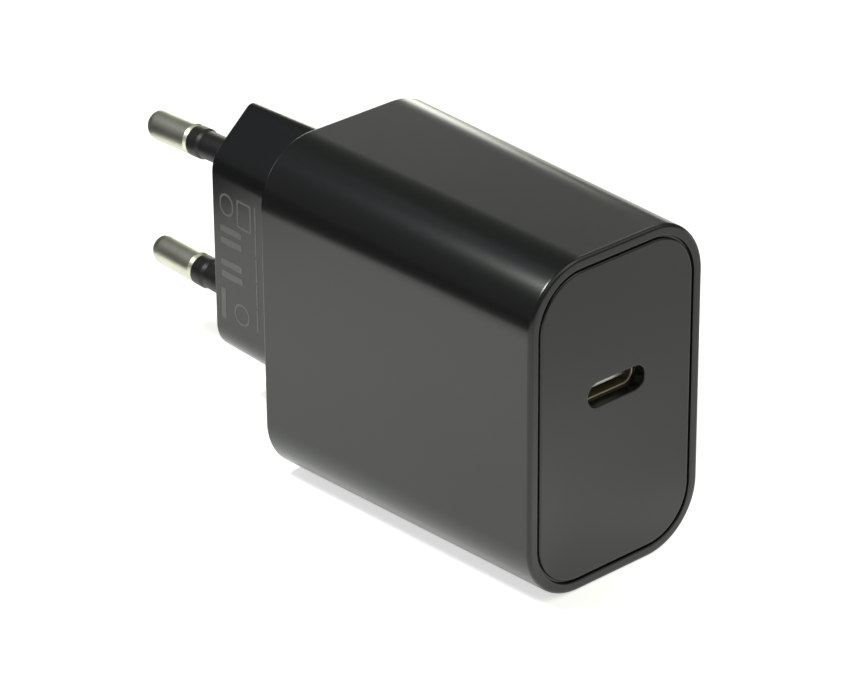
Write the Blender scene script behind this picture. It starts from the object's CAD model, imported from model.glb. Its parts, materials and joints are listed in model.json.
import json
import math

import bmesh
import bpy
from mathutils import Matrix, Vector


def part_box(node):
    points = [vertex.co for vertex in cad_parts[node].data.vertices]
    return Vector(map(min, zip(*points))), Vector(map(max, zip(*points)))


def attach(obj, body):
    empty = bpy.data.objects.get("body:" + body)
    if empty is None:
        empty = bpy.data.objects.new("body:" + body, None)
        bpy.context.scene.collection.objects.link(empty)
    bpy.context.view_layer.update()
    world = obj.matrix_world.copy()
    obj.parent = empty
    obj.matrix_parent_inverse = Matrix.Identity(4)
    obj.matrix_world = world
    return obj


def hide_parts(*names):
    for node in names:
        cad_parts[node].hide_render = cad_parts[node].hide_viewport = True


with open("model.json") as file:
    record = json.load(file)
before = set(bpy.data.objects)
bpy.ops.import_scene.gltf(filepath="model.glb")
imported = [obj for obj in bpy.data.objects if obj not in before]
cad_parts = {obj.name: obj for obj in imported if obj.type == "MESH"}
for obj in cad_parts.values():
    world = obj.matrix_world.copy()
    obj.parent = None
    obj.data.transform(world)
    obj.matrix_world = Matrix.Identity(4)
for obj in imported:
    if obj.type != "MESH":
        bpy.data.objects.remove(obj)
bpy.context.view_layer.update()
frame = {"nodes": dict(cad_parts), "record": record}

MM = 0.001

# ---------- sizes, in millimetres, the main ones read off the frame ----------


def box_mm(node):
    """Lowest and highest corner of a CAD node, in millimetres."""
    low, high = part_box(node)
    return Vector(low) / MM, Vector(high) / MM


SHELL_LOW, SHELL_HIGH = box_mm("body_shell")
PANEL_HIGH = box_mm("front_panel")[1]
HEAD_LOW, HEAD_HIGH = box_mm("plug_head")
SOCKET_LOW, SOCKET_HIGH = box_mm("usb_shell")
TONGUE_LOW, TONGUE_HIGH = box_mm("usb_tongue")

# body shell and front panel
FRONT_Y = SHELL_LOW.y                    # front face
REAR_Y = SHELL_HIGH.y                    # outside of the rear wall
REAR_HALF = (SHELL_HIGH.x, SHELL_HIGH.z)
TAPER = (0.8, 0.65)                      # the front is this much smaller at each side, above and below
FRONT_HALF = (REAR_HALF[0] - TAPER[0], REAR_HALF[1] - TAPER[1])
CORNER_R = 7.9
WALL = 1.9
REAR_WALL = 2.0
CAVITY_Y = REAR_Y - REAR_WALL            # inside of the rear wall
RIM = 1.35
GROOVE_DEPTH = 0.4
SEAT = 0.25                              # the panel's seat is this much wider than its face, all round
PANEL_HALF = (PANEL_HIGH.x - SEAT, PANEL_HIGH.z - SEAT)
PANEL_R = CORNER_R - (FRONT_HALF[0] - PANEL_HALF[0])
PANEL_T = 1.8
LEDGE_Y = FRONT_Y + PANEL_T              # back of the panel's plate, where the body has its ledge
SKIRT_IN = 2.0                           # from the front's outline in to the skirt behind the panel
SKIRT_T = 1.0
FRONT_FILLET = 0.5
REAR_FILLET = 0.22
RIM_FILLET = 0.18
PANEL_FILLET = 0.28

# port and socket
PORT_HALF = (4.5, 1.55)
PORT_FILLET = 0.14
PORT_Z = (TONGUE_LOW.z + TONGUE_HIGH.z) / 2
SOCKET_HALF = (4.47, 1.58)
SOCKET_T = 0.3
TONGUE_HALF = (3.345, 0.35)
TIP_PLATE = 0.04                         # thickness of the plated cap on the tongue
TIP_LEN = 0.55
INSULATOR_HALF = 1.26                    # half the height of the block that holds the tongue
INSULATOR_Y = TONGUE_HIGH.y - 2.4        # front of that block

# neck
NECK_HALF = (6.6, 17.6)                  # half width and half height at the mating face
NECK_LEN = -REAR_Y
NECK_DRAFT = 0.56                        # the neck is this much larger all round where it meets the body
BEVEL = math.radians(41)                 # slope of the faces between the neck's sides and its apexes
NECK_SIDE_R = 4.2
NECK_APEX_R = 1.2
NECK_WALL = 1.5
NECK_FILLET = 0.18
NECK_GAP = 0.05                          # between the neck and its hole in the rear wall
HOLE_EASE = 0.15                         # chamfer of that hole
FLANGE_EXTRA = 0.3                       # over the CAD's height, so that the flange clears the apexes
FLANGE_R = 4
FACE_WALL = 3.0
BOSS_LEN = 7.0
BOSS_R = 3.6

# pins and sleeves
PIN_TIP = 19.5
PIN_PITCH = 18.6
PIN_TIP_PITCH = 17.3
PIN_TILT = math.atan((PIN_PITCH - PIN_TIP_PITCH) / 2 / PIN_TIP)
PIN_R = 2.0
CORE_R = 1.4                             # the pin inside its sleeve
SLEEVE_R = 1.8
SLEEVE_IN = 2.5                          # how deep the sleeve goes into the plug
SLEEVE_END = 10.85
BEAD_R = 2.0                             # the ring at the sleeve's end
BEAD_LEN = 2.2
BORE_GAP = 0.05                          # round the pin and the sleeve in the plug
RECESS_R = 2.15
RECESS_DEPTH = 0.4
RECESS_EASE = 0.06                       # chamfer of the recess

# surfaces
PRINT_T = 0.02                           # height of the print over the plastic
HOLD = 0.08                              # distance of the support loop beside a rounded edge
SHARP_ANGLE = math.radians(32)           # edges above this angle are shaded sharp
NOISE_LOW, NOISE_HIGH = 0.3, 0.7         # most of a noise texture's values lie between these
CAD_EDGE = 0.06                          # bevel on the edges of the parts carried over from the CAD
CAD_EDGE_ANGLE = math.radians(50)

# ---------- outlines ----------


def corner_arc(before, here, after, radius, steps):
    """Points of the arc that rounds the corner at here."""
    a = (before - here).normalized()
    b = (after - here).normalized()
    half = a.angle(b) / 2
    reach = radius / math.tan(half)
    centre = here + (a + b).normalized() * (radius / math.sin(half))
    start = here + a * reach - centre
    end = here + b * reach - centre
    sweep = start.angle_signed(end)
    points = []
    for i in range(steps + 1):
        turned = start.copy()
        turned.rotate(Matrix.Rotation(-sweep * i / steps, 2))
        points.append(centre + turned)
    return points


def with_holds(p, q, hold):
    """The two support points on the straight from p to q, or none where there is no straight."""
    span = (q - p).length
    if span < 1e-4:
        return []
    step = min(hold, span / 3)
    along = (q - p).normalized() * step
    return [p + along, q - along]


def round_polygon(corners, steps=10, hold=0.25):
    """A closed outline: a convex polygon of (x, z, radius) corners with its corners rounded."""
    points = [Vector(c[:2]) for c in corners]
    count = len(points)
    arcs = [
        corner_arc(points[i - 1], points[i], points[(i + 1) % count], corners[i][2], steps)
        for i in range(count)
    ]
    outline = []
    for i, arc in enumerate(arcs):
        following = arcs[(i + 1) % count]
        straight = with_holds(arc[-1], following[0], hold)
        outline += arc if straight else arc[:-1]
        outline += straight
    return outline


def grow(corners, g):
    """The polygon moved outwards by g, its corner radii grown with it."""
    points = [Vector(c[:2]) for c in corners]
    count = len(points)
    grown = []
    for i in range(count):
        a = (points[i - 1] - points[i]).normalized()
        b = (points[(i + 1) % count] - points[i]).normalized()
        half = a.angle(b) / 2
        moved = points[i] - (a + b).normalized() * (g / math.sin(half))
        grown.append((moved.x, moved.y, max(corners[i][2] + g, 0.05)))
    return grown


def rectangle(half_w, half_h, radius, z=0.0):
    """Corners of a rectangle centred at height z."""
    signs = ((1, 1), (-1, 1), (-1, -1), (1, -1))
    return [(sx * half_w, z + sz * half_h, radius) for sx, sz in signs]


def body_corners(y):
    """Outline of the tapered body at y."""
    t = (y - FRONT_Y) / (REAR_Y - FRONT_Y)
    return rectangle(
        FRONT_HALF[0] + (REAR_HALF[0] - FRONT_HALF[0]) * t,
        FRONT_HALF[1] + (REAR_HALF[1] - FRONT_HALF[1]) * t,
        CORNER_R,
    )


def neck_corners(y):
    """Outline of the neck at y: a tall hexagon with rounded corners."""
    half_w, half_h = NECK_HALF
    sharp = half_h - NECK_APEX_R + NECK_APEX_R / math.cos(BEVEL)
    side_z = sharp - half_w * math.tan(BEVEL)
    hexagon = [
        (half_w, side_z, NECK_SIDE_R),
        (0, sharp, NECK_APEX_R),
        (-half_w, side_z, NECK_SIDE_R),
        (-half_w, -side_z, NECK_SIDE_R),
        (0, -sharp, NECK_APEX_R),
        (half_w, -side_z, NECK_SIDE_R),
    ]
    return grow(hexagon, NECK_DRAFT * -y / NECK_LEN)


def circle(x, z, radius, steps=48):
    """Points round a circle."""
    angles = [2 * math.pi / steps * i for i in range(steps)]
    return [Vector((x + radius * math.cos(a), z + radius * math.sin(a))) for a in angles]


def fillet_path(points, steps=5):
    """An open path of (a, b, radius) points with its corners rounded and support points beside each arc."""
    flat = [Vector(p[:2]) for p in points]
    runs = []
    for i, p in enumerate(points):
        if 0 < i < len(points) - 1 and p[2] > 0:
            runs.append(corner_arc(flat[i - 1], flat[i], flat[i + 1], p[2], steps))
        else:
            runs.append([flat[i]])
    path = []
    for i, run in enumerate(runs):
        path += run
        if i + 1 < len(runs) and (len(run) > 1 or len(runs[i + 1]) > 1):
            following = runs[i + 1][0]
            near, far = with_holds(run[-1], following, HOLD) or (None, None)
            if near is not None:
                path += [near] if len(run) > 1 else []
                path += [far] if len(runs[i + 1]) > 1 else []
    return path


# ---------- mesh building ----------


def ring(bm, outline, y):
    """New vertices along an outline of (x, z) points, at y."""
    return [bm.verts.new((p[0] * MM, y * MM, p[1] * MM)) for p in outline]


def loft(bm, rings):
    """Quads between neighbouring rings."""
    for low, high in zip(rings, rings[1:]):
        count = len(low)
        for i in range(count):
            j = (i + 1) % count
            bm.faces.new((low[i], low[j], high[j], high[i]))


def skin(bm, corners_at, path, steps=10):
    """Rings along a path of (inset, y) points, each the outline at its y moved inwards by inset,
    joined into a surface."""
    rings = [ring(bm, round_polygon(grow(corners_at(y), -inset), steps), y) for inset, y in path]
    loft(bm, rings)
    return rings


def fill(bm, *rings):
    """Flat triangles between an outer ring and the rings inside it, or across one ring."""
    edges = []
    for loop in rings:
        for i, vert in enumerate(loop):
            other = loop[(i + 1) % len(loop)]
            edges.append(bm.edges.get((vert, other)) or bm.edges.new((vert, other)))
    bmesh.ops.triangle_fill(bm, use_beauty=True, use_dissolve=False, edges=edges)


def turned_point(radius, y, angle):
    """A point at an angle round the Y axis, its radius and y given in millimetres."""
    return Vector((radius * MM * math.cos(angle), y * MM, radius * MM * math.sin(angle)))


def lathe(bm, profile, place, segments=64):
    """A surface turned about the Y axis from (radius, y) points, then moved by a matrix."""
    turn = 2 * math.pi / segments
    rows = []
    for radius, y in profile:
        count = segments if radius > 0 else 1
        rows.append([bm.verts.new(place @ turned_point(radius, y, i * turn)) for i in range(count)])
    for low, high in zip(rows, rows[1:]):
        for i in range(segments):
            j = (i + 1) % segments
            if len(low) == 1:
                bm.faces.new((low[0], high[j], high[i]))
            elif len(high) == 1:
                bm.faces.new((low[i], low[j], high[0]))
            else:
                bm.faces.new((low[i], low[j], high[j], high[i]))
    return rows


def soft_box(bm, low, high, bevel):
    """A box with rounded edges, its corners given in millimetres."""
    centre = (Vector(low) + Vector(high)) / 2 * MM
    size = (Vector(high) - Vector(low)) * MM
    place = Matrix.Translation(centre) @ Matrix.Diagonal((*size, 1))
    made = bmesh.ops.create_cube(bm, size=1, matrix=place)
    edges = {e for v in made["verts"] for e in v.link_edges}
    bmesh.ops.bevel(
        bm, geom=list(edges), offset=bevel * MM, offset_type="OFFSET",
        segments=2, profile=0.5, affect="EDGES",
    )


def finish_piece(name, bm, material, slot, *nodes):
    """Turns the mesh into a piece that rides on the charger, in place of its CAD nodes if it has any."""
    bmesh.ops.recalc_face_normals(bm, faces=bm.faces)
    mesh = bpy.data.meshes.new(name)
    bm.to_mesh(mesh)
    bm.free()
    mesh.shade_smooth()
    mesh.set_sharp_from_angle(angle=SHARP_ANGLE)
    piece = bpy.data.objects.new(name, mesh)
    bpy.context.scene.collection.objects.link(piece)
    mesh.materials.append(material)
    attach(piece, "root")
    if nodes:
        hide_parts(*nodes)
    return piece


# ---------- materials ----------


class Nodes:
    """A material's node tree with short ways to add and join nodes."""

    def __init__(self, name):
        self.material = bpy.data.materials.new(name)
        self.material.use_nodes = True
        self.tree = self.material.node_tree
        self.tree.nodes.clear()
        self.shader = self.add("ShaderNodeBsdfPrincipled")
        output = self.add("ShaderNodeOutputMaterial")
        self.join(self.shader, "BSDF", output, "Surface")
        self.coords = self.add("ShaderNodeTexCoord")

    def add(self, kind, **values):
        node = self.tree.nodes.new(kind)
        for key, value in values.items():
            setattr(node, key, value)
        return node

    def join(self, source, output, target, socket):
        self.tree.links.new(source.outputs[output], target.inputs[socket])

    def noise(self, scale, detail=2.0, stretch=(1, 1, 1), roughness=0.5):
        """Noise over the object's own coordinates; scale is in features a metre."""
        mapping = self.add("ShaderNodeMapping")
        mapping.inputs["Scale"].default_value = stretch
        self.join(self.coords, "Object", mapping, "Vector")
        noise = self.add("ShaderNodeTexNoise")
        noise.inputs["Scale"].default_value = scale
        noise.inputs["Detail"].default_value = detail
        noise.inputs["Roughness"].default_value = roughness
        self.join(mapping, "Vector", noise, "Vector")
        return noise

    def spread(self, source, output, low, high, from_low=NOISE_LOW, from_high=NOISE_HIGH):
        """Maps a node's output onto the range from low to high."""
        node = self.add("ShaderNodeMapRange")
        node.inputs["From Min"].default_value = from_low
        node.inputs["From Max"].default_value = from_high
        node.inputs["To Min"].default_value = low
        node.inputs["To Max"].default_value = high
        self.join(source, output, node, "Value")
        return node

    def tint(self, source, output, dark, light):
        """Makes the base colour run from dark to light with a node's output."""
        ramp = self.add("ShaderNodeValToRGB")
        ramp.color_ramp.elements[0].position = NOISE_LOW
        ramp.color_ramp.elements[0].color = (*dark, 1)
        ramp.color_ramp.elements[1].position = NOISE_HIGH
        ramp.color_ramp.elements[1].color = (*light, 1)
        self.join(source, output, ramp, "Fac")
        self.join(ramp, "Color", self.shader, "Base Color")

    def bump(self, source, output, height_mm):
        """Raises the surface with a node's output."""
        node = self.add("ShaderNodeBump")
        node.inputs["Strength"].default_value = 1.0
        node.inputs["Distance"].default_value = height_mm * MM
        self.join(source, output, node, "Height")
        self.join(node, "Normal", self.shader, "Normal")


def moulded_plastic(name, dark, light, rough_low, rough_high, grain_mm=0.16, grain_height=0.0006):
    """Moulded plastic: a slightly cloudy colour, and one fine grain in both roughness and height."""
    m = Nodes(name)
    cloud = m.noise(90, detail=3)
    m.tint(cloud, "Fac", dark, light)
    grain = m.noise(1 / (grain_mm * MM), detail=2)
    rough = m.spread(grain, "Fac", rough_low, rough_high)
    m.join(rough, "Result", m.shader, "Roughness")
    m.bump(grain, "Fac", grain_height)
    return m.material


def turned_metal(name, dark, light, rough_low, rough_high, line_mm=0.12, line_height=0.0006):
    """Metal with a slightly cloudy colour and faint lines that run across Y, in roughness and height."""
    m = Nodes(name)
    cloud = m.noise(300, detail=3)
    m.tint(cloud, "Fac", dark, light)
    m.shader.inputs["Metallic"].default_value = 1.0
    lines = m.noise(1 / (line_mm * MM), detail=3, stretch=(0.08, 1, 0.08))
    rough = m.spread(lines, "Fac", rough_low, rough_high)
    m.join(rough, "Result", m.shader, "Roughness")
    m.bump(lines, "Fac", line_height)
    return m.material


# ---------- casing ----------


def make_body():
    """The outer box: hollow, open at the front, with the neck's hole in the rear wall."""
    bm = bmesh.new()
    border = 3.2                         # narrow enough to stay clear of the hole
    path = fillet_path([
        (WALL, CAVITY_Y, 0),
        (WALL, LEDGE_Y, 0),
        (RIM, LEDGE_Y, 0),
        (RIM, FRONT_Y, RIM_FILLET),
        (0, FRONT_Y, FRONT_FILLET),
        (0, REAR_Y, REAR_FILLET),
        (border, REAR_Y, 0),
    ])
    shell = skin(bm, body_corners, path, steps=20)
    hole = skin(bm, neck_corners, [
        (-NECK_GAP - HOLE_EASE, REAR_Y),
        (-NECK_GAP, REAR_Y - HOLE_EASE),
        (-NECK_GAP, CAVITY_Y),
    ])
    fill(bm, shell[-1], hole[0])
    fill(bm, shell[0], hole[-1])
    return finish_piece("body_shell_skin", bm, CASING, "casing_plastic", "body_shell")


def make_panel():
    """The inset front: a plate with the port opening, a stepped seat and a skirt behind."""
    bm = bmesh.new()
    outline = rectangle(*PANEL_HALF, PANEL_R)
    port = rectangle(*PORT_HALF, PORT_HALF[1], PORT_Z)
    skirt = (FRONT_HALF[0] - SKIRT_IN) - PANEL_HALF[0]
    border = 4                           # the ring between the plate's edge and its flat middle
    seat_fillet, skirt_fillet = 0.1, 0.2
    path = fillet_path([
        (border, FRONT_Y, 0),
        (0, FRONT_Y, PANEL_FILLET),
        (0, FRONT_Y + GROOVE_DEPTH, 0),
        (-SEAT, FRONT_Y + GROOVE_DEPTH, 0),
        (-SEAT, LEDGE_Y, seat_fillet),
        (-skirt, LEDGE_Y, 0),
        (-skirt, PANEL_HIGH.y, skirt_fillet),
        (-skirt + SKIRT_T, PANEL_HIGH.y, skirt_fillet),
        (-skirt + SKIRT_T, LEDGE_Y, 0),
        (border, LEDGE_Y, 0),
    ])
    plate = skin(bm, lambda y: outline, path, steps=20)
    round_front, round_back = 0.8, 0.6   # rings of plate round the opening
    mouth = fillet_path([
        (-round_front, FRONT_Y, 0),
        (0, FRONT_Y, PORT_FILLET),
        (0, LEDGE_Y, 0),
        (-round_back, LEDGE_Y, 0),
    ])
    tunnel = skin(bm, lambda y: port, mouth, steps=16)
    fill(bm, plate[0], tunnel[0])
    fill(bm, plate[-1], tunnel[-1])
    return finish_piece("front_panel_skin", bm, PANEL, "panel_plastic", "front_panel")


def pin_centre(side, y):
    """Height of a pin's axis at y; side is 1 for the upper pin and -1 for the lower."""
    return side * (PIN_PITCH / 2 - y * math.tan(PIN_TILT))


def make_head():
    """The neck: hollow, with the mating face, two bored bosses and a flange inside the body."""
    bm = bmesh.new()
    border = 2.2                         # the ring between the mating face's edge and its flat middle
    flange = rectangle(HEAD_HIGH.x, HEAD_HIGH.z + FLANGE_EXTRA, FLANGE_R)
    outside = fillet_path([(border, 0, 0), (0, 0, NECK_FILLET), (0, CAVITY_Y, 0)])
    outer = skin(bm, neck_corners, outside, steps=12)
    rim = skin(bm, lambda y: flange, [(0, CAVITY_Y), (0, HEAD_LOW.y)])
    inner = skin(bm, neck_corners, [(NECK_WALL, HEAD_LOW.y), (NECK_WALL, -FACE_WALL)], steps=12)
    fill(bm, outer[-1], rim[0])
    fill(bm, rim[-1], inner[0])
    holes, bosses = [], []
    for side in (-1, 1):
        steps = [
            (BOSS_R, -FACE_WALL),
            (BOSS_R, -BOSS_LEN),
            (CORE_R + BORE_GAP, -BOSS_LEN),
            (CORE_R + BORE_GAP, -SLEEVE_IN),
            (SLEEVE_R + BORE_GAP, -SLEEVE_IN),
            (SLEEVE_R + BORE_GAP, -RECESS_DEPTH),
            (RECESS_R, -RECESS_DEPTH),
            (RECESS_R, -RECESS_EASE),
            (RECESS_R + RECESS_EASE, 0),
        ]
        rings = [ring(bm, circle(0, pin_centre(side, y), radius), y) for radius, y in steps]
        loft(bm, rings)
        bosses.append(rings[0])
        holes.append(rings[-1])
    fill(bm, outer[0], *holes)
    fill(bm, inner[-1], *bosses)
    return finish_piece("plug_head_skin", bm, CASING, "casing_plastic", "plug_head")


# ---------- print on the neck ----------


def side_point(y, z, lift):
    """A point on the neck's left side, lifted off it, at y and z."""
    half_w = NECK_HALF[0] - NECK_DRAFT * y / NECK_LEN
    return Vector((-(half_w + lift) * MM, y * MM, z * MM))


def print_shape(bm, outline, hole=None):
    """A thin raised patch on the neck's left side; outline and hole are loops of (y, z) points."""
    loops = [outline] + ([hole] if hole else [])
    top = [[bm.verts.new(side_point(y, z, PRINT_T)) for y, z in loop] for loop in loops]
    base = [[bm.verts.new(side_point(y, z, -PRINT_T)) for y, z in loop] for loop in loops]
    for high, low in zip(top, base):
        loft(bm, [high, low])
    fill(bm, *top)
    fill(bm, *base)


def oval(y, z, half_y, half_z, radius, steps=8):
    """A loop of points round a rounded rectangle on the neck's side."""
    return [tuple(p) for p in round_polygon([
        (y + half_y, z + half_z, radius), (y - half_y, z + half_z, radius),
        (y - half_y, z - half_z, radius), (y + half_y, z - half_z, radius),
    ], steps)]


def make_print():
    """Plain marks in the places where such a charger carries its approval marks."""
    bm = bmesh.new()
    line = 0.3
    # y, z, half length, half height, corner radius
    upper_ring = (-2.8, 6.9, 1.35, 1.5, 1.3)
    upper_frame = (-6.2, 6.5, 1.4, 1.9, 0.3)
    lower_ring = (-5.3, -7.2, 1.5, 1.45, 1.4)
    for y, z, half_y, half_z, radius in (upper_ring, upper_frame, lower_ring):
        inside = oval(y, z, half_y - line, half_z - line, max(radius - line, 0.1))
        print_shape(bm, oval(y, z, half_y, half_z, radius), inside)
    bar_half, bar_heights = (2.1, 0.45), (3.5, 1.9, -1.1, -2.7)
    for z in bar_heights:
        print_shape(bm, oval(-3.5, z, *bar_half, 0.3))
    print_shape(bm, oval(-1.7, -6.8, *reversed(bar_half), 0.1))
    dashes, pitch = 5, 3.46
    for i in range(dashes):
        z = (i - (dashes - 1) / 2) * pitch
        print_shape(bm, oval(-8.4, z, 0.15, 1.6, 0.1, 3))
    return finish_piece("neck_print", bm, PRINT, "casing_plastic")


# ---------- pins ----------


def pin_place(side):
    """The matrix that moves a pin from the Y axis to its place in the plug."""
    tilt = Matrix.Rotation(-side * PIN_TILT, 4, "X")
    return Matrix.Translation((0, 0, side * PIN_PITCH / 2 * MM)) @ tilt


def make_pin(name, side):
    """A pin with a round tip, a thin core inside the sleeve and a riveted end behind the boss."""
    bm = bmesh.new()
    rivet_r, rivet_back, rivet_front = 2.6, -BOSS_LEN - 1.6, -BOSS_LEN - 0.7
    shoulder_r, shoulder = 1.7, SLEEVE_END + 0.05
    cone_len = 0.5
    tip_y = PIN_TIP - PIN_R
    body = fillet_path([
        (0, rivet_back, 0),
        (rivet_r, rivet_back, 0.3),
        (rivet_r, rivet_front, 0.2),
        (CORE_R, rivet_front, 0),
        (CORE_R, shoulder, 0),
        (shoulder_r, shoulder, 0),
        (PIN_R, shoulder + cone_len, 0.3),
        (PIN_R, tip_y, 0),
    ])
    tip_steps = 14
    angles = [math.pi / 2 * i / tip_steps for i in range(1, tip_steps)]
    profile = [tuple(p) for p in body]
    profile += [(PIN_R * math.cos(a), tip_y + PIN_R * math.sin(a)) for a in angles]
    profile.append((0, PIN_TIP))
    lathe(bm, profile, pin_place(side))
    return finish_piece(name + "_metal", bm, NICKEL, "pin_nickel", name)


def make_sleeve(name, side):
    """A pin's insulating sleeve, with the ring at its end."""
    bm = bmesh.new()
    bead = SLEEVE_END - BEAD_LEN
    bore_r = CORE_R + 0.03
    blend = 0.4                          # radius of the soft step between sleeve and ring
    profile = fillet_path([
        (bore_r, SLEEVE_END, 0),
        (BEAD_R, SLEEVE_END, 0.2),
        (BEAD_R, bead + 0.4, blend),
        (SLEEVE_R, bead - 0.1, blend),
        (SLEEVE_R, -SLEEVE_IN, 0.1),
        (bore_r, -SLEEVE_IN, 0),
    ])
    rows = lathe(bm, [tuple(p) for p in profile], pin_place(side))
    loft(bm, [rows[-1], rows[0]])
    return finish_piece(name + "_collar", bm, SLEEVE, "sleeve_plastic", name)


# ---------- USB socket ----------


def make_socket_shell():
    """The socket's steel tube and its four legs."""
    bm = bmesh.new()
    outline = rectangle(*SOCKET_HALF, SOCKET_HALF[1], PORT_Z)
    path = fillet_path([
        (0, SOCKET_HIGH.y, 0),
        (0, SOCKET_LOW.y, 0.1),
        (SOCKET_T, SOCKET_LOW.y, 0.12),
        (SOCKET_T, SOCKET_HIGH.y, 0),
    ])
    rings = skin(bm, lambda y: outline, path, steps=16)
    loft(bm, [rings[-1], rings[0]])
    leg_x, leg_half, leg_w = 4.37, 0.13, 1.1
    leg_top = PORT_Z + 0.3
    for x in (-leg_x, leg_x):
        for y in (SOCKET_LOW.y + 1.6, SOCKET_LOW.y + 5.6):
            soft_box(bm, (x - leg_half, y, SOCKET_LOW.z), (x + leg_half, y + leg_w, leg_top), 0.04)
    return finish_piece("usb_shell_formed", bm, SOCKET_STEEL, "socket_steel", "usb_shell")


def make_tongue():
    """The socket's plastic tongue and the block that holds it."""
    bm = bmesh.new()
    blade = rectangle(TONGUE_HALF[0] - TIP_PLATE, TONGUE_HALF[1] - TIP_PLATE, 0.15, PORT_Z)
    block = rectangle(TONGUE_HIGH.x, INSULATOR_HALF, INSULATOR_HALF, PORT_Z)
    front = skin(bm, lambda y: blade, [(0, TONGUE_LOW.y + TIP_PLATE), (0, INSULATOR_Y)], steps=5)
    back = skin(bm, lambda y: block, [(0, INSULATOR_Y), (0, TONGUE_HIGH.y)])
    fill(bm, front[0])
    fill(bm, front[-1], back[0])
    fill(bm, back[-1])
    return finish_piece("usb_tongue_moulded", bm, SOCKET_PLASTIC, "socket_plastic", "usb_tongue")


def make_tongue_tip():
    """The plated cap round the tongue's front edge."""
    bm = bmesh.new()
    outline = rectangle(*TONGUE_HALF, 0.2, PORT_Z)
    inside = TONGUE_LOW.y + TIP_PLATE
    end = TONGUE_LOW.y + TIP_LEN
    path = fillet_path([
        (0.2, TONGUE_LOW.y, 0),
        (0, TONGUE_LOW.y, 0.06),
        (0, end, 0),
        (TIP_PLATE, end, 0),
        (TIP_PLATE, inside, 0),
    ])
    rings = skin(bm, lambda y: outline, path, steps=5)
    fill(bm, rings[0])
    fill(bm, rings[-1])
    return finish_piece("usb_tongue_tip", bm, TIP_STEEL, "socket_steel")


def make_contacts():
    """The contact strips above and below the tongue, and their feet behind the block."""
    bm = bmesh.new()
    count, pitch, half_w = 12, 0.5, 0.13
    strip_y = SOCKET_LOW.y + 0.8
    lift, half_t = 0.39, 0.04            # a strip's distance from the tongue's middle, half its thickness
    foot_y = TONGUE_HIGH.y + 0.9
    foot_low, foot_high = SOCKET_LOW.z + 0.02, SOCKET_LOW.z + 0.92
    for i in range(count):
        x = (i - (count - 1) / 2) * pitch
        for z in (PORT_Z - lift, PORT_Z + lift):
            soft_box(bm, (x - half_w, strip_y, z - half_t), (x + half_w, INSULATOR_Y, z + half_t), 0.02)
        soft_box(bm, (x - half_w, TONGUE_HIGH.y, foot_low), (x + half_w, foot_y, foot_high), 0.03)
    return finish_piece("usb_contact_set", bm, GOLD, "contact_gold", "usb_contacts")


# ---------- stage, lights and camera ----------

BASE_SLOPE = math.atan(TAPER[1] / (REAR_Y - FRONT_Y))   # the body widens to the rear, so its base slopes
FLOOR_GAP = 0.03                         # between the floor and the base, so that they don't coincide

# The floor is lit a little from below, like a light table.
GLOW_TOWARDS = (0.64, -0.77, 0)          # to the front right
FLOOR_GLOW = ((30, 0.55), (50, 0.8), (84, 0.35), (104, 0.25), (130, 0.35))   # (millimetres that way, glow)
BASE_GLOW = 0.08                         # added round the charger's base
BASE_OVAL = (0.02, 0.033, 1)             # half width and half length of an oval round the base, in metres
BASE_FADE = (1.1, 1.7)                   # the base's glow fades between these multiples of the oval


def make_floor():
    """The white floor under the charger, at the slope of its base."""
    size = 3.0
    mesh = bpy.data.meshes.new("floor")
    corners = [(-size, -size, 0), (size, -size, 0), (size, size, 0), (-size, size, 0)]
    mesh.from_pydata(corners, [], [(0, 1, 2, 3)])
    floor = bpy.data.objects.new("floor", mesh)
    bpy.context.scene.collection.objects.link(floor)
    floor.rotation_euler = (-BASE_SLOPE, 0, 0)
    floor.location = (0, REAR_Y * MM, -(REAR_HALF[1] + FLOOR_GAP) * MM)
    m = Nodes("floor_paper")
    m.tint(m.noise(40), "Fac", (0.86, 0.86, 0.86), (0.88, 0.88, 0.88))
    m.shader.inputs["Roughness"].default_value = 0.9
    m.shader.inputs["Specular IOR Level"].default_value = 0.1
    m.shader.inputs["Emission Color"].default_value = (1, 1, 1, 1)
    run = m.add("ShaderNodeVectorMath", operation="DOT_PRODUCT")
    run.inputs[1].default_value = GLOW_TOWARDS
    m.join(m.coords, "Object", run, "Vector")
    first, last = FLOOR_GLOW[0][0], FLOOR_GLOW[-1][0]
    along = m.spread(run, "Value", 0, 1, first * MM, last * MM)
    ramp = m.add("ShaderNodeValToRGB")
    stops = ramp.color_ramp.elements
    while len(stops) < len(FLOOR_GLOW):
        stops.new(0.5)
    for stop, (distance, glow) in zip(stops, FLOOR_GLOW):
        stop.position = (distance - first) / (last - first)
        stop.color = (glow, glow, glow, 1)
    m.join(along, "Result", ramp, "Fac")
    oval_place = m.add("ShaderNodeMapping", vector_type="TEXTURE")
    oval_place.inputs["Location"].default_value = (0, (FRONT_Y - REAR_Y) / 2 * MM, 0)
    oval_place.inputs["Scale"].default_value = BASE_OVAL
    m.join(m.coords, "Object", oval_place, "Vector")
    away = m.add("ShaderNodeVectorMath", operation="LENGTH")
    m.join(oval_place, "Vector", away, 0)
    near = m.spread(away, "Value", BASE_GLOW, 0, *BASE_FADE)
    total = m.add("ShaderNodeMath", operation="ADD")
    m.join(ramp, "Color", total, 0)
    m.join(near, "Result", total, 1)
    m.join(total, "Value", m.shader, "Emission Strength")
    mesh.materials.append(m.material)


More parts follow.
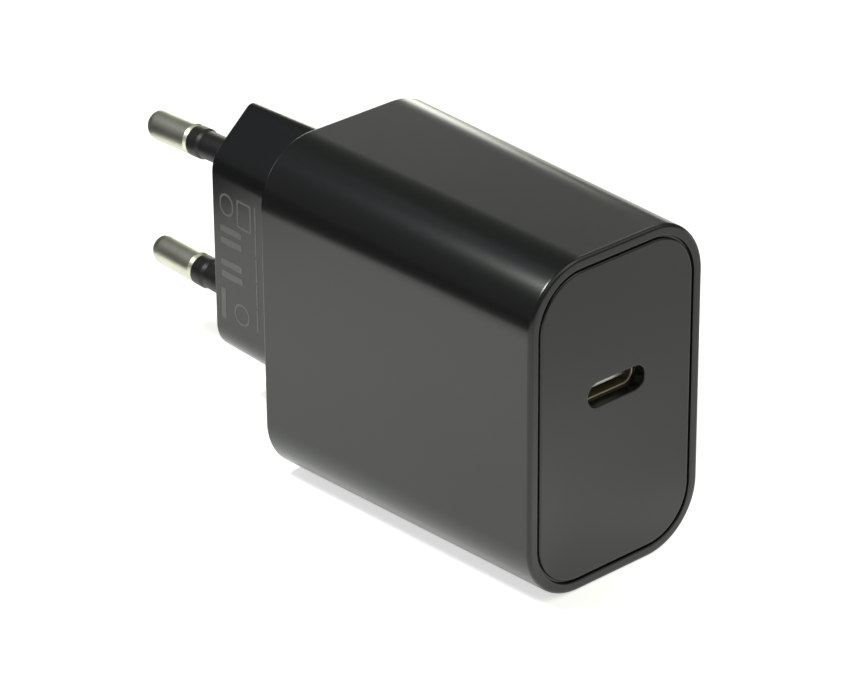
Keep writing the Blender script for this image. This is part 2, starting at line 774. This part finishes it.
def make_card(name, start, end, height, tone):
    """A dark upright card from start to end, (x, y) in millimetres, that shows only in reflections."""
    bottom = -REAR_HALF[1]
    mesh = bpy.data.meshes.new(name)
    corners = [(*start, bottom), (*end, bottom), (*end, bottom + height), (*start, bottom + height)]
    mesh.from_pydata([tuple(v * MM for v in c) for c in corners], [], [(0, 1, 2, 3)])
    card = bpy.data.objects.new(name, mesh)
    bpy.context.scene.collection.objects.link(card)
    m = Nodes(name)
    m.tint(m.noise(40), "Fac", (tone, tone, tone), (tone * 1.2, tone * 1.2, tone * 1.1))
    m.shader.inputs["Roughness"].default_value = 0.95
    m.shader.inputs["Specular IOR Level"].default_value = 0.0
    mesh.materials.append(m.material)
    card.visible_camera = False
    card.visible_shadow = False
    card.visible_diffuse = False


def add_softbox(name, azimuth, elevation, distance, size, power, colour, centre):
    """A softbox that faces centre, in degrees and metres; azimuth runs from the rear towards the right."""
    a, e = math.radians(azimuth), math.radians(elevation)
    towards = Vector((math.sin(a) * math.cos(e), math.cos(a) * math.cos(e), math.sin(e)))
    light = bpy.data.lights.new(name, "AREA")
    light.shape = "RECTANGLE"
    light.size, light.size_y = size
    light.energy = power
    light.color = colour
    lamp = bpy.data.objects.new(name, light)
    bpy.context.scene.collection.objects.link(lamp)
    lamp.location = centre + towards * distance
    lamp.rotation_euler = (-towards).to_track_quat("-Z", "Y").to_euler()


def make_lights():
    """The softboxes, with powers and colours fitted to the photo's tones, and an even dim surrounding."""
    middle = Vector((0, -0.035, 0))
    top_edge = Vector((-0.012, -0.045, 0.015))
    add_softbox("front_softbox", 180, 55, 1.0, (1.2, 0.9), 3.0, (1, 1, 0.82), middle)
    add_softbox("right_softbox", 135, 45, 1.0, (0.9, 0.9), 1.8, (1, 1, 0.8), middle)
    add_softbox("rear_right_low", 38, 6, 0.8, (0.31, 0.22), 1.09, (0.99, 1, 0.89), middle)
    add_softbox("rear_right_side", 60, 38, 0.8, (0.244, 0.22), 0.31, (1, 0.94, 0.87), middle)
    add_softbox("rear_right_high", 38, 22, 0.8, (0.287, 0.22), 0.0755, (1, 1, 1), middle)
    add_softbox("rear_right_edge", 15, 6, 0.8, (0.31, 0.22), 0.08, (0.46, 1, 0.91), middle)
    add_softbox("rear_low", -10, 12, 0.8, (0.303, 0.22), 0.60, (0.81, 0.69, 1), middle)
    add_softbox("rear_high", -10, 58, 0.8, (0.164, 0.22), 0.032, (0.79, 0.70, 1), middle)
    add_softbox("rear_left_high", -30, 44, 0.8, (0.201, 0.22), 0.021, (0.45, 0.31, 1), middle)
    add_softbox("rear_left_strip", -58, 56, 0.15, (0.038, 0.034), 0.21, (0.94, 1, 0.91), top_edge)
    world = bpy.data.worlds.new("studio")
    world.use_nodes = True
    world.node_tree.nodes["Background"].inputs["Color"].default_value = (0.128, 0.147, 0.128, 1)
    bpy.context.scene.world = world


CAMERA_AZIMUTH = math.radians(-42.003)
CAMERA_ELEVATION = math.radians(27.407)
CAMERA_ROLL = math.radians(-0.401)
CAMERA_DISTANCE = 0.4849
CAMERA_AIM = Vector((-0.01303, -0.0467, 0.005937))
CAMERA_LENS = 177.734


def make_camera():
    """The camera of the photo: a long lens from the front left and above."""
    cos_e, sin_e = math.cos(CAMERA_ELEVATION), math.sin(CAMERA_ELEVATION)
    back = Vector((math.sin(CAMERA_AZIMUTH) * cos_e, -math.cos(CAMERA_AZIMUTH) * cos_e, sin_e))
    right = Vector((math.cos(CAMERA_AZIMUTH), math.sin(CAMERA_AZIMUTH), 0))
    up = back.cross(right)
    turn = Matrix((right, up, back)).transposed() @ Matrix.Rotation(CAMERA_ROLL, 3, "Z")
    data = bpy.data.cameras.new("camera")
    data.lens = CAMERA_LENS
    data.sensor_width = 36
    camera = bpy.data.objects.new("camera", data)
    bpy.context.scene.collection.objects.link(camera)
    camera.matrix_world = Matrix.Translation(CAMERA_AIM + back * CAMERA_DISTANCE) @ turn.to_4x4()
    bpy.context.scene.camera = camera


# ---------- parts inside, carried over from the CAD ----------


def dress_inside():
    """Gives every part that stays as the CAD made it a material for its slot and softened edges."""
    # by slot: name, dark and light colour, roughness from and to, then size and height of the grain
    plastics = {
        "board_green": ("solder_mask", (0.012, 0.10, 0.035), (0.018, 0.13, 0.05), 0.2, 0.35, 0.5),
        "chip_black": ("moulded_epoxy", (0.02, 0.02, 0.02), (0.03, 0.03, 0.03), 0.5, 0.65),
        "ferrite": ("sintered_ferrite", (0.035, 0.035, 0.04), (0.06, 0.06, 0.065), 0.45, 0.7),
        "bobbin_plastic": ("phenolic", (0.03, 0.028, 0.026), (0.045, 0.04, 0.037), 0.4, 0.55),
        "tape_yellow": ("polyester_tape", (0.72, 0.50, 0.05), (0.82, 0.60, 0.08), 0.3, 0.4, 0.6),
        "capacitor_sleeve": ("shrink_sleeve", (0.012, 0.02, 0.05), (0.02, 0.03, 0.07), 0.15, 0.3, 0.8),
        "disc_blue": ("blue_coating", (0.02, 0.12, 0.38), (0.03, 0.17, 0.48), 0.25, 0.4, 0.4),
        "disc_green": ("green_coating", (0.02, 0.20, 0.07), (0.03, 0.26, 0.10), 0.25, 0.4, 0.4),
        "fuse_brown": ("brown_coating", (0.16, 0.06, 0.025), (0.22, 0.09, 0.04), 0.3, 0.45),
        "insulation_film": ("fish_paper", (0.55, 0.48, 0.30), (0.66, 0.58, 0.38), 0.45, 0.6, 0.3),
        "pad_grey": ("gap_pad", (0.30, 0.33, 0.37), (0.36, 0.39, 0.43), 0.7, 0.85, 0.3, 0.003),
    }
    metals = {
        "spring_bronze": ("phosphor_bronze", (0.62, 0.40, 0.20), (0.72, 0.48, 0.25), 0.25, 0.4),
        "solder": ("solder_tin", (0.62, 0.62, 0.62), (0.75, 0.75, 0.74), 0.25, 0.45),
        "copper_wire": ("enamelled_wire", (0.60, 0.22, 0.08), (0.80, 0.36, 0.16), 0.2, 0.35, 0.25, 0.02),
        "capacitor_can": ("drawn_can", (0.68, 0.68, 0.69), (0.80, 0.80, 0.81), 0.2, 0.35),
        "spreader_aluminium": ("rolled_aluminium", (0.66, 0.67, 0.68), (0.78, 0.79, 0.80), 0.25, 0.4),
    }
    slots = {slot: moulded_plastic(*look) for slot, look in plastics.items()}
    slots.update({slot: turned_metal(*look) for slot, look in metals.items()})
    for part in frame["record"]["subparts"]:
        if part["material_slot"] not in slots:
            continue
        node = frame["nodes"][part["node"]]
        node.data.materials.clear()
        node.data.materials.append(slots[part["material_slot"]])
        edge = node.modifiers.new("edge", "BEVEL")
        edge.width = CAD_EDGE * MM
        edge.segments = 2
        edge.limit_method = "ANGLE"
        edge.angle_limit = CAD_EDGE_ANGLE


# ---------- build ----------

CASING = moulded_plastic("casing_black", (0.0060, 0.0060, 0.0065), (0.0070, 0.0070, 0.0075), 0.21, 0.24)
PANEL = moulded_plastic("panel_black", (0.0060, 0.0060, 0.0065), (0.0070, 0.0070, 0.0075), 0.22, 0.25)
SLEEVE = moulded_plastic("sleeve_black", (0.0050, 0.0050, 0.0052), (0.0060, 0.0060, 0.0064), 0.44, 0.52)
PRINT = moulded_plastic("print_grey", (0.068, 0.069, 0.065), (0.080, 0.081, 0.076), 0.35, 0.5)
NICKEL = turned_metal("nickel_plate", (0.62, 0.61, 0.51), (0.70, 0.69, 0.59), 0.36, 0.44, 0.15, 0.0002)
SOCKET_STEEL = turned_metal("socket_steel", (0.46, 0.42, 0.32), (0.56, 0.52, 0.40), 0.45, 0.55)
TIP_STEEL = turned_metal("tongue_plate", (0.84, 0.83, 0.79), (0.90, 0.89, 0.85), 0.2, 0.28)
GOLD = turned_metal("contact_gilt", (0.75, 0.55, 0.22), (0.85, 0.64, 0.28), 0.28, 0.38)
SOCKET_PLASTIC = moulded_plastic("socket_black", (0.02, 0.02, 0.02), (0.03, 0.03, 0.03), 0.3, 0.4)

make_body()
make_panel()
make_head()
for pin_name, pin_side in (("upper", 1), ("lower", -1)):
    make_pin("pin_" + pin_name, pin_side)
    make_sleeve("pin_sleeve_" + pin_name, pin_side)
make_socket_shell()
make_tongue()
make_tongue_tip()
make_contacts()
make_print()
dress_inside()
make_floor()
make_card("rear_flag", (-300, -5), (30, 61), 45, 0.01)
make_lights()
make_camera()
bpy.context.scene.view_settings.view_transform = "Standard"
